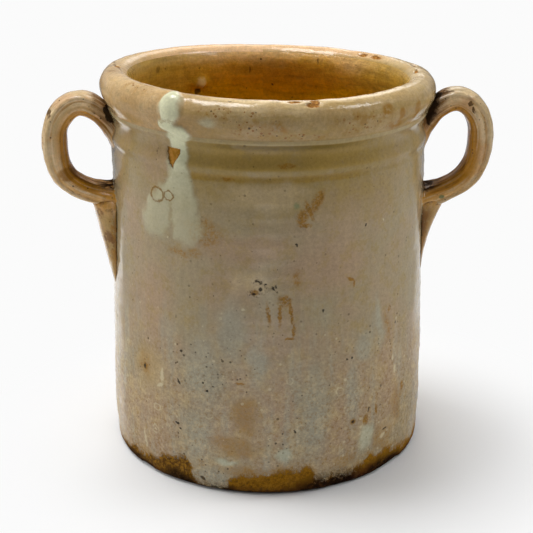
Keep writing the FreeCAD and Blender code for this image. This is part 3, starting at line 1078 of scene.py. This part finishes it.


# The bare clay at the foot: the glaze stops above it in a ragged line. It is golden above and dark red-brown
# towards the edge, darker on the right with painted shade, and black with grime and painted shade in places.
def paintFoot(finish, mottle):
    foot = finish.shaken(finish.wallMap, 8, 4)
    across, along = finish.onWall(foot)
    height = along + footLine["depth"]
    girth = 2 * math.pi * pot["waist"][0]
    stops = []
    for at, high in footLine["heights"]:
        stops.append((at / girth + 0.5, (high / footLine["highest"],) * 3 + (1,)))
    line = finish.node("ValToRGB", {"stops": stops}, {"Fac": across / girth + 0.5})
    line = finish.node("RGBToBW", {}, {"Color": line}) * footLine["highest"]
    grain, = finish.noises((2.2, 5, 0.8, 20))
    edge = line - height + (grain - 0.5) * 16 + (mottle - 0.5) * 12
    soft = footLine["softness"]
    raw = edge.above(-soft, soft).most(height.below(0, 1.5))
    finish.lay((edge + 5).above(-4, 5) * mottle.above(0.4, 0.6) * 0.5, "rust")
    leftSide = across.below(-56, -44)
    earth = finish.mix(leftSide, colours["rawFoot"], colours["rawOlive"])
    earth = finish.mix(grain.above(0.47, 0.60) * 0.6, earth, colours["footGold"])
    # The edge of the foot is laid darker, most on the right: red-brown clay and painted shade on the side
    # away from the light.
    rightSide = across.above(10, 40)
    red = (height - rightSide * across.below(74, 96) * 4).below(3, 10) * (0.5 + 0.5 * grain.above(0.40, 0.52))
    earth = finish.mix(red * (0.55 + 0.45 * rightSide), earth, colours["redFoot"])
    dark = grain.below(0.41, 0.50) * (0.45 + 0.55 * height.below(4, 12))
    dark = dark.most(leftSide * grain.below(0.46, 0.55) * 0.75)
    dark = dark.most(height.below(2, 9) * grain.below(0.50, 0.60) * (0.65 + 0.35 * rightSide))
    earth = finish.mix(dark, earth, colours["soilAndShade"])
    finish.lay(raw * 0.96, earth)
    # Near black at the foot's edge: grime, with painted shade at the right of the bottom edge.
    dirtAndShadeAtFoot = finish.marks(foot, wallMarks["grimeAndShade"]) * grain.above(0.42, 0.50)
    dirtAndShadeAtFoot = dirtAndShadeAtFoot.most(height.below(1, 5) * grain.above(0.42, 0.52) * 0.9)
    finish.lay(dirtAndShadeAtFoot * 0.92, "grimeAndShade")
    return raw, dirtAndShadeAtFoot


def wallFinish():
    wall = Finish("wallGlaze", "greige")
    across, along = wall.across, wall.along
    ragged = wall.shaken(wall.wallMap, 2.2, 1.3)
    waved = wall.shaken(wall.wallMap, 14, 7)
    clouds, mottle, fine, grit, streaks, thin = wall.noises(
        (48, 4, 0.55, 1),
        (11, 6, 0.72, 2),
        (1.8, 3, 0.75, 4),
        (2.4, 4, 0.75, 26),
        (11, 4, 0.6, 3, (1, 1, 0.16)),
        (4.5, 3, 0.6, 5, (1, 1, 0.08)),
    )

    def spots(name, soft=0.5):
        return wall.marks(waved, wallMarks[name], soft)

    low = along.below(-190, -110)
    wall.lay(clouds.above(0.40, 0.62) * 0.7, "pinkish")
    wall.lay(spots("pink") * 0.9, "pinkish")
    wall.lay(mottle.above(0.46, 0.66) * 0.5, "khaki")
    # The sides of the neck and the upper wall stay pinker and paler: pink glaze, and painted reflection of a
    # bright window on the neck's sides.
    pinkSidesAndSheen = across.below(-72, -58).most(across.above(72, 106))
    upper = along.above(-66, -26) * mottle.above(0.1, 0.55) * (1 - pinkSidesAndSheen * 0.6)
    wall.lay(upper * 0.85, "khaki")
    lower = along.below(-150, -80)
    wall.lay((streaks.above(0.50, 0.66) * 0.55 * lower).most(spots("blue", 0.6) * 0.75), "blueGrey")
    wall.lay(low * mottle.above(0.46, 0.64) * 0.4, "sandy")
    wall.lay(low * grit.above(0.52, 0.60) * 0.5, "sandy")
    wall.lay(low * grit.below(0.39, 0.46) * 0.45, "rust")
    neck = along.above(-20, -18) * along.below(-2, -0.8)
    front = across.above(-62, -12) * across.below(28, 90)
    olive = neck * (1 - pinkSidesAndSheen * 0.8) * mottle.above(0.05, 0.5)
    wall.lay(olive * (0.35 + 0.45 * front), "neckOlive")
    # Painted shade under the rim's overhang: the top of the neck is laid dark at the front.
    wall.lay(neck * along.above(-7.5, -3) * front * 0.85, "neckShade")
    # Painted highlight: a pale line along the bead at the lip.
    wall.lay(along.above(-1.4, -0.4) * 0.45, "lipHighlight")
    band = (along + (mottle - 0.5) * 3).above(-28, -26) * along.below(-23.5, -21.5) * across.below(45, 80)
    wall.lay(band * (1 - pinkSidesAndSheen) * (0.25 + 0.5 * mottle), "bandOchre")
    wall.lay(spots("mint") * 0.7, "mint")
    wall.lay(spots("halo") * 0.5, "sandy")
    wall.lay(spots("warm") * 0.32, "bandOchre")
    wall.lay(spots("brown") * (0.3 + 0.7 * grit.above(0.46, 0.58)) * 0.7, "rust")
    swings = (fine, 0.6), (grit, 0.35), (mottle, 0.35), (thin, 0.2), (streaks, 0.12)
    wall.colour = wall.shaded(wall.colour, *swings)
    paintDrip(wall)
    broken = mottle.above(0.38, 0.56)
    wall.lay(wall.rings(ragged, wallMarks["paleRings"], 0.16) * (0.15 + 0.4 * broken), "chalk")
    wall.lay(wall.rings(ragged, wallMarks["bubbleEdges"], 0.14) * (0.25 + 0.6 * broken), "bubbleBrown")
    wall.lay(wall.marks(ragged, wallMarks["green"], 0.7) * 0.5, "green")
    rust = wall.marks(ragged, wallMarks["rust"], 0.4) * (0.35 + 0.65 * grit.above(0.40, 0.52))
    wall.lay(rust * 0.9, "rust")
    wall.lay(rust * fine.below(0.42, 0.5) * 0.3, "speck")
    wall.lay(wall.marks(ragged, wallMarks["chalkDots"], 0.3) * 0.65, "chalk")
    freckled, = wall.noises((30, 3, 0.5, 6))
    many = freckled.above(0.42, 0.60) * (0.3 + 0.7 * along.below(-185, -80))
    dots = wall.specks(3.1, 0.42, 0.16) * many
    dots = dots.most(wall.specks(5.2, 0.30, 0.13) * (0.35 + 0.65 * many))
    wall.lay(wall.specks(6.3, 0.32, 0.14) * lower * 0.5, "chalk")
    seam, dirt = wall.jointMarks()
    # Pale seam on the joint: thick glaze and painted highlight.
    wall.lay(seam * 0.4, "chalk")
    wall.lay(dirt * along.above(-64, -54) * 0.5, "soilAndShade")
    crumbs = wall.marks(ragged, wallMarks["crumbs"]) * grit.below(0.40, 0.46)
    wall.lay(dots * 0.8, "speck")
    holes = wall.marks(ragged, wallMarks["pits"], 0.3).most(crumbs)
    wall.lay(holes * 0.88, "grimeAndShade")
    pits = dots.most(holes)
    lost = paintLostPiece(wall, ragged)
    raw, dirtAndShadeAtFoot = paintFoot(wall, mottle)
    dull = low * (0.10 + 0.3 * mottle.above(0.42, 0.60))
    bare = raw.most(dirtAndShadeAtFoot, lost, pits * 0.6, rust * 0.5, dull)
    return wall.done(bare, raw * fine * 0.5 - pits * 0.35 - low * fine * 0.12)


# Marks on the rolled rim, in the same form
rimMarks = {
    "stains": [
        (81, 18, 5, 4.5), (90, 7, 9, 3.4), (95, 14, 2.4, 5, 20), (112, 12, 4, 7), (6.8, 12.6, 4.6, 3.2),
    ],
    "freckles": [(-20, 20, 22, 4), (-8, 13, 14, 9), (14, 5, 22, 4), (60, 14, 14, 8), (-96, 30, 13, 5)],
    "bluePatch": [(-36.6, 14.6, 5, 3.4)],
    "cracks": [
        (-188, 31, 5, 0.9, 20), (-172, 34, 6.5, 0.9, 12), (-161, 37, 6, 0.8, 14),
        (-153, 31, 5, 0.8, 30), (176, 37.5, 5, 0.8, -20), (197, 34.5, 5, 0.9, 10),
        (136, 38.5, 7, 0.7, 4), (120, 36, 4, 0.5, 8), (-24.7, 30, 1.2, 0.5),
    ],
    # pale patches on the crown: wear, and painted highlight where the crown catches the light
    "wornAndHighlight": [(-6, 34, 40, 5), (46, 34, 26, 4.4), (-90, 38, 30, 3), (86, 36, 34, 5)],
    "chipShare": 0.85,
}


def rimFinish():
    rim = Finish("rimGlaze", "rimTan")
    across, along = rim.across, rim.along
    ragged = rim.shaken(rim.wallMap, 3, 1.4)
    waved = rim.shaken(rim.wallMap, 12, 4)
    clouds, mottle, fine, turned = rim.noises(
        (34, 4, 0.6, 11),
        (7, 5, 0.7, 12),
        (1.9, 3, 0.75, 19),
        (5, 3, 0.6, 23, (0.15, 0.15, 1)),
    )
    rim.lay(clouds.above(0.38, 0.64), "rimCream")
    rim.lay(mottle.above(0.46, 0.66) * 0.35, "rimOlive")
    # The lower half of the roll is laid darker, most at the front: greige glaze and painted shade under the
    # rim.
    front = 0.7 + 0.3 * across.above(-96, -40)
    rim.lay(along.below(12, 32) * (0.55 + 0.7 * (mottle - 0.5)) * front, "rimGreigeAndShade")
    rim.lay(turned.above(0.50, 0.64) * along.below(22, 34) * 0.5, "khaki")
    rim.lay(along.above(44, 54), "insideTan")
    # Pale patches on the crown: wear and painted highlight.
    rim.lay(rim.marks(waved, rimMarks["wornAndHighlight"], 0.4) * mottle.above(0.3, 0.5) * 0.6, "paleWearAndHighlight")
    rim.lay(rim.marks(waved, rimMarks["bluePatch"]) * 0.45, "mint")
    # Painted light: the back of the rim is laid paler, standing in for the light that falls on it.
    back = rim.part(rim.place, "Y").above(0.03, 0.09)
    rim.lay(back * 0.7, "rimBackLit")
    blush = across.below(-70, -30) * (1 - back) * mottle.above(0.3, 0.5)
    rim.lay(blush * 0.22, "handlePink")
    rim.lay(across.above(90, 140) * along.above(38, 46) * 0.8, "insideOlive")
    rim.colour = rim.shaded(rim.colour, (fine, 0.8), (mottle, 0.8), (turned, 0.35))
    rim.lay(rim.marks(waved, rimMarks["stains"]) * mottle.above(0.36, 0.50) * 0.85, "rust")
    run = paintDrip(rim)
    freckled = rim.marks(waved, rimMarks["freckles"])
    rim.lay(freckled * mottle.above(0.46, 0.6) * 0.4, "rust")
    orange = rim.specks(2.6, 0.6, 0.3) * freckled
    rim.lay(orange * 0.85, "chipBrown")
    dots = rim.specks(4.0, 0.35, 0.17) * (freckled * 0.9 + 0.15)
    dots = dots.most(rim.marks(ragged, rimMarks["cracks"]) * 0.8)
    height = along + (fine - 0.5) * 8
    crack = height.above(11.2, 12.2) * height.below(12.8, 13.8) * run * mottle.above(0.42, 0.54)
    rim.lay(crack * 0.45, "bubbleBrown")
    rim.lay(dots * 0.8, "speck")
    chips = []
    for middle, halfSizes, _ in relief["rimChips"]:
        chips.append((*middle, *(rimMarks["chipShare"] * half for half in halfSizes)))
    chipped = rim.marks(ragged, chips, 0.2)
    clay = rim.mix(fine.above(0.48, 0.60), colours["chipBrown"], colours["bareClay"])
    rim.lay(chipped * 0.95, clay)
    _, dirt = rim.jointMarks()
    dirt = dirt * along.below(14, 26)
    rim.lay(dirt * 0.8, "soilAndShade")
    bare = chipped.most(dots * 0.5, dirt * 0.7, orange * 0.3)
    return rim.done(bare, clouds * 1.1 + mottle * 0.22 - dots * 0.3 - chipped * mottle * 0.6)


# Marks inside the pot, in the same form
insideMarks = {
    "lumpHighlight": [(-292, 66, 4.6, 3.6)],
    "hole": [(-291, 74, 3.4, 2.6), (351.6, 71.2, 0.9, 0.9)],
    "spots": [(-240, 52, 3, 2.4), (-289.6, 54.4, 1.2, 1), (308.6, 49, 0.7, 2.4), (-339, 58, 0.8, 3)],
}


def insideFinish():
    inside = Finish("insideGlaze", "insideTan")
    ragged = inside.shaken(inside.wallMap, 4, 1.4)
    clouds, mottle, fine = inside.noises((30, 4, 0.6, 14), (8, 5, 0.7, 15), (2.2, 3, 0.75, 24))
    swirl = inside.noise(inside.wallMap, 100, 4, 0.6, 27, (0.25, 2, 1))
    fall = inside.along + (clouds - 0.5) * 26
    inside.lay(fall.above(44, 58), "insideOchre")
    inside.lay(fall.above(58, 78), "insideDeep")
    side = inside.part(inside.place, "X")
    inside.lay(side.below(-0.085, -0.03) * 0.75, "insideOlive")
    rightLip = side.above(0.05, 0.09) * fall.below(60, 86)
    inside.lay((mottle.above(0.5, 0.7) * 0.4).most(rightLip * 0.7), "insideOlive")
    inside.colour = inside.shaded(inside.colour, (fine, 0.8), (mottle, 1), (swirl, 1))
    # Painted highlight: the lump under the rim is laid pale.
    inside.lay(inside.marks(ragged, insideMarks["lumpHighlight"], 0.4) * 0.6, "rimCream")
    spots = inside.marks(ragged, insideMarks["spots"]) * 0.6
    spots = spots.most(inside.specks(6.0, 0.25, 0.09), inside.marks(ragged, insideMarks["hole"], 0.3))
    inside.lay(spots * 0.85, "speck")
    folds = (mottle * 0.7 + swirl * 0.5) * inside.along.below(70, 130)
    return inside.done(spots * 0.4, clouds * 1.4 + folds - spots * 0.3)


# Marks on the handles: ellipsoids, each its middle and its half sizes in millimetres
handleMarks = {
    "knocks": [
        ((-150.4, -30, 250.2), (2.2, 12, 6.5)), ((-131.6, -33, 209.6), (3.4, 10, 2.6)),
        ((139.8, -20, 252.2), (1.6, 8, 2)), ((142.2, -20, 248.2), (1.1, 8, 2.6)),
        ((125.8, -8, 258.2), (9, 8, 2)), ((139.2, -2, 259), (3, 6, 1.2)),
        ((125.7, -20, 206.8), (1.2, 8, 1)),
    ],
    "stains": [((-118, -30, 176.5), (3, 14, 5)), ((-112.5, -30, 157.5), (4.5, 14, 7.5))],
    "crevices": [((-106.6, -30, 249), (6, 20, 8)), ((116, -20, 249), (9, 20, 13))],
    # painted shade low inside each loop, by the wall
    "loopShadeSpots": [((-113.5, -30, 200), (7, 16, 3.4)), ((113, -20, 197.2), (5, 14, 3))],
    # pale patches on the crests: wear and painted highlight along the ridge
    "wornAndHighlight": [
        ((-145.2, -30, 242.5), (5, 14, 9)), ((-131, -34, 254), (10, 14, 3.4)),
        ((137.5, -10, 258), (9, 12, 3)),
    ],
    "corners": [((-139.5, -30, 205.5), (7, 16, 5)), ((135, -20, 199), (8, 16, 5))],
    "green": [((123, -20, 185.4), (2, 10, 1.6))],
}


def handleFinish():
    handle = Finish("handleGlaze", "handleTan")
    clouds, blush, mottle, fine = handle.noises(
        (22, 3, 0.5, 16),
        (16, 4, 0.6, 25),
        (6, 5, 0.7, 17),
        (1.8, 3, 0.75, 21),
    )
    combed = handle.noise(handle.wallMap, 100, 4, 0.65, 18, (4.8, 0.22, 1))
    hollow, gap = handle.attribute("hollow"), handle.attribute("joint")
    ragged = handle.shaken(handle.place, 4, 2.4, 1000)

    def spots(name, place=ragged):
        return handle.spaceMarks(place, handleMarks[name])

    height = handle.part(handle.place, "Z") * 1000
    tongue = height.below(172, 182)
    strap = 1 - tongue
    fromInner = (handle.across - handles["mapMiddle"]).math("ABSOLUTE")
    handle.lay(clouds.above(0.4, 0.6), "handlePale")
    handle.lay(blush.above(0.48, 0.62) * 0.6, "handlePink")
    right = handle.part(handle.place, "X").above(-0.02, 0.02)
    outer = fromInner.above(18, 26) * clouds.above(0.36, 0.52) * (0.3 + 0.7 * right)
    handle.lay(outer * 0.6, "greige")
    # Pale patches along the crest of each strap: wear and painted highlight.
    handle.lay(spots("wornAndHighlight", handle.place) * mottle.above(0.3, 0.5) * 0.6, "paleWearAndHighlight")
    handle.lay(combed.above(0.47, 0.60) * 0.42, "rimOlive")
    handle.lay(hollow.above(0.0, 0.05) * 0.5, "amber")
    free = strap * (0.3 + 0.7 * gap.above(2, 10))
    # The face towards the loop is laid deep amber: amber glaze and painted shade on the side turned to the
    # wall.
    handle.lay(fromInner.below(9, 15) * free * (0.55 + 0.9 * (combed - 0.3)), "amberDeep")
    handle.lay(fromInner.below(13, 20) * combed.above(0.36, 0.52) * free * 0.75, "amber")
    lowLimb = height.below(200, 220) * height.above(176, 184)
    handle.lay(lowLimb * combed.above(0.3, 0.52) * (0.8 - 0.55 * fromInner.above(15, 23)), "amber")
    corners = spots("corners", handle.place) * mottle.above(0.36, 0.5)
    handle.lay(corners * (0.75 - 0.5 * right), "amberDeep")
    handle.lay(tongue * (0.75 - 0.35 * fromInner.above(20, 30)), "khaki")
    brown = tongue * mottle.above(0.42, 0.54) * height.below(148, 160).most(gap.below(3, 8))
    brown = brown.most(tongue * gap.below(1.5, 3.5) * 0.8) * (1 - 0.7 * fromInner.above(20, 30))
    handle.lay(brown * 0.85, "amberDeep")
    shadeSide = tongue * right * fromInner.below(20, 30)
    handle.lay(shadeSide * mottle.above(0.3, 0.5) * 0.75, "soilPale")
    handle.colour = handle.shaded(handle.colour, (fine, 0.6), (mottle, 0.6), (combed, 0.7))
    wander = (mottle - 0.5) * 16
    stained = height.above(228, 242) * (gap + wander).below(3, 16) * (0.5 + combed.above(0.4, 0.56))
    handle.lay(stained.least(1) * 0.8, "soilPale")
    blackAndLoopShade = (gap + wander * 0.7).below(4, 8) * spots("crevices").above(0.1, 0.5)
    # Painted shade low inside each loop is laid near black together with the crevices.
    blackAndLoopShade = blackAndLoopShade.most(spots("loopShadeSpots") * mottle.above(0.34, 0.46))
    # Painted shade: the low inner bend of the loop, where it faces the strap's shaded underside, is laid dark
    # with the soil.
    loopShade = (fromInner + wander * 0.4).below(7, 12) * strap
    loopShade = loopShade * height.below(207, 214) * height.above(180, 190)
    knocks = spots("knocks") * mottle.above(0.36, 0.48)
    crumbs = hollow.above(0.05, 0.14) * mottle.above(0.50, 0.60) * 0.7 * (gap + wander).below(8, 22)
    soilAndLoopShade = (loopShade * combed.above(0.44, 0.54) * 0.9).most(crumbs, knocks)
    handle.lay(soilAndLoopShade * 0.85, "soilAndShade")
    blackAndLoopShade = blackAndLoopShade.most(loopShade * gap.below(4, 16) * mottle.above(0.40, 0.52))
    handle.lay(blackAndLoopShade * 0.92, "grimeAndShade")
    handle.lay(spots("stains") * mottle.above(0.40, 0.52) * 0.8, "soilPale")
    handle.lay(spots("green", handle.place) * 0.7, "green")
    dots = handle.specks(3.4, 0.34, 0.15)
    handle.lay(dots * 0.75, "speck")
    return handle.done(soilAndLoopShade.most(blackAndLoopShade, stained * 0.3), mottle * 0.15 + combed * 0.2 - dots * 0.3)


glazedPot = newObject("glazedPot", thrownPot())
pieces = []
for side in ("left", "right"):
    pieces.append(newObject(side + "Strap", strapMesh(side)))
    pieces.append(newObject(side + "Tongue", tongueMesh(side)))
finishes = [wallFinish(), rimFinish(), insideFinish(), handleFinish()]
for piece in [glazedPot, *pieces]:
    for finish in finishes:
        piece.data.materials.append(finish)
fuse(glazedPot, pieces)
finishSurface(glazedPot.data)
print("pot fused with its handles")

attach(glazedPot, "root")
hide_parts("preserve_pot")

# The room: a pale floor, a white room behind, and soft lamps. Distances in metres.
studio = {
    "floorHalf": 12.0,
    "floorColour": 0.86,
    "floorShown": 0.815,  # its paleness to the camera, which keeps the background white
    "farWhite": 0.965,
    "nearMiddle": (0.02, -0.02, 0.0),
    "nearHalf": (0.085, 0.245),  # the floor is lit up to the first radius and plain white from the second
    "floorDim": 0.34,  # share of the floor's paleness that gloss sees outside the white sheet
    "sheetEdges": (-43.0, 36.5),  # degrees from straight behind, left and right
    "sheetStart": (0.104, 0.05),  # where the edges start beside and before the middle of the pot
    "sheetSoft": 2.5,
    "sheetReach": (0.6, 0.72),  # how far from the pot it lies on the floor
    "rightDim": 0.45,  # how much less of the sheet gloss sees on its right side
    "highDim": 0.6,  # how much less of it gloss sees above the height of the pot
    "room": (0.08, 0.50),  # brightness in front of the pot and behind it
    "gloss": (0.12, 0.38),  # the same as gloss sees it
    "lamps": [  # name, place, aim, width, height, watts
        ("leftWindow", (-0.72, 0.34, 1.5), (0, 0, 0.15), 0.85, 0.85, 17),
        ("frontPanel", (0, -0.9, 1.7), (0, 0, 0.25), 1.2, 1.2, 2.3),
        ("leftPanel", (-1.5, 0.15, 0.8), (0, 0, 0.15), 1.0, 1.0, 6.5),
        ("rightPanel", (1.6, 0.1, 0.9), (0, 0, 0.15), 1.0, 1.0, 10.5),
        ("overheadRight", (0.62, 0.05, 1.5), (0, 0, 0.25), 0.21, 0.21, 2.6),
        ("overheadLeft", (-0.33, -0.12, 1.55), (0, 0, 0.25), 0.21, 0.21, 2.4),
        ("backWindow", (0, 1.6, 1.15), (0, 0, 0.25), 0.8, 0.5, 6),
    ],
    "gleams": [  # windows that only gloss sees, as it doesn't see the unseen lamps
        ("topGleam", (-0.35, 0.07, 1.55), (0, 0, 0.27), 0.6, 0.6, 10.5),
        ("backGleam", (0.25, 1.3, 1.15), (0, 0, 0.27), 0.5, 0.95, 2.6),
        ("sideGleam", (0.85, -0.07, 1.28), (0, 0, 0.27), 0.35, 0.35, 3.0),
    ],
    "unseen": ["leftWindow", "leftPanel", "rightPanel", "overheadRight", "overheadLeft", "backWindow"],
}


# Share of the white sheet behind the pot: one between its two edges and nought outside them. Each
# edge is a line that starts beside the pot. For a direction the lines start at the middle.
def onSheet(paint, vector, aside, ahead):
    x, y = paint.part(vector, "X"), paint.part(vector, "Y") + ahead
    left, right = studio["sheetEdges"]
    soft = studio["sheetSoft"]
    leftTurn = (x + aside).math("ARCTAN2", y) * math.degrees(1)
    rightTurn = (x - aside).math("ARCTAN2", y) * math.degrees(1)
    sheet = leftTurn.above(left - soft, left + soft) * rightTurn.below(right - soft, right + soft)
    return sheet * (1 - x.above(-0.02, 0.1) * studio["rightDim"])


# A grey as a shader's colour: the same level three times, and opaque.
def grey(level):
    return (level, level, level, 1)


def buildFloor():
    half = studio["floorHalf"]
    corners = [(-half, -half, 0), (half, -half, 0), (half, half, 0), (-half, half, 0)]
    mesh = bpy.data.meshes.new("studioFloor")
    mesh.from_pydata(corners, [], [(0, 1, 2, 3)])
    floor = newObject("studioFloor", mesh)
    paint = Paint("studioFloorPaint")
    place = paint.node("TexCoord", output="Object")
    ends = {0: place, 1: studio["nearMiddle"]}
    away = paint.node("VectorMath", {"operation": "DISTANCE"}, ends, output="Value")
    near = away.below(*studio["nearHalf"])
    camera = paint.ray("Camera")
    pale = studio["floorColour"]
    sheet = onSheet(paint, place, *studio["sheetStart"]) * away.below(*studio["sheetReach"])
    dimmed = paint.ray("Glossy") * (1 - sheet)
    colour = paint.mix(dimmed, grey(pale), grey(pale * studio["floorDim"]))
    colour = paint.mix(camera, colour, grey(studio["floorShown"]))
    diffuse = paint.node("BsdfDiffuse", {}, {"Color": colour})
    white = paint.node("Emission", {}, {"Color": grey(1), "Strength": studio["farWhite"]})
    shown = paint.node("MixShader", {}, {0: camera * (1 - near), 1: diffuse, 2: white})
    paint.node("OutputMaterial", {}, {"Surface": shown})
    mesh.materials.append(paint.material)


def buildRoom():
    world = bpy.data.worlds.new("studioRoom")
    bpy.context.scene.world = world
    paint = Paint(world)
    direction = paint.node("TexCoord", output="Generated")
    front, behind = studio["room"]
    soft = front + paint.part(direction, "Y").above(-0.7, 0.7) * (behind - front)
    rise = paint.part(direction, "Z")
    sheet = onSheet(paint, direction, 0, 0) * (1 - rise.above(0.1, 0.34) * studio["highDim"])
    front, behind = studio["gloss"]
    glossy = front + sheet * (behind - front)
    lit = soft + paint.ray("Glossy") * (glossy - soft)
    level = lit + paint.ray("Camera") * (studio["farWhite"] - lit)
    background = paint.node("Background", {}, {"Color": grey(1), "Strength": level})
    paint.node("OutputWorld", {}, {"Surface": background})


def buildLamps():
    gleams = [name for name, *_ in studio["gleams"]]
    for name, place, aim, width, height, watts in studio["lamps"] + studio["gleams"]:
        light = bpy.data.lights.new(name, "AREA")
        light.shape = "RECTANGLE"
        light.size, light.size_y = width, height
        light.energy = watts
        lamp = newObject(name, light)
        lamp.location = place
        lamp.rotation_euler = (Vector(aim) - Vector(place)).to_track_quat("-Z", "Y").to_euler()
        lamp.visible_camera = False
        lamp.visible_diffuse = name not in gleams
        lamp.visible_glossy = name not in studio["unseen"]


# The camera stands where the photograph was taken from.
view = {
    "place": (0.0, -0.8349, 0.42665),
    "tiltDown": 19.767,
    "focalPixels": 1197.0,
    "framePixels": 533.0,
    "middlePixel": (268.2, 265.7),
    "sensor": 36.0,
}


def buildCamera():
    lens = bpy.data.cameras.new("photoCamera")
    size = view["framePixels"]
    across, down = view["middlePixel"]
    lens.sensor_width = view["sensor"]
    lens.lens = view["focalPixels"] / size * view["sensor"]
    lens.shift_x = (size / 2 - across) / size
    lens.shift_y = (down - size / 2) / size
    camera = newObject("photoCamera", lens)
    camera.location = view["place"]
    camera.rotation_euler = (math.radians(90 - view["tiltDown"]), 0, 0)
    bpy.context.scene.camera = camera


buildFloor()
buildRoom()
buildLamps()
buildCamera()
bpy.context.scene.view_settings.view_transform = "Standard"
print("studio, lamps and camera ready")
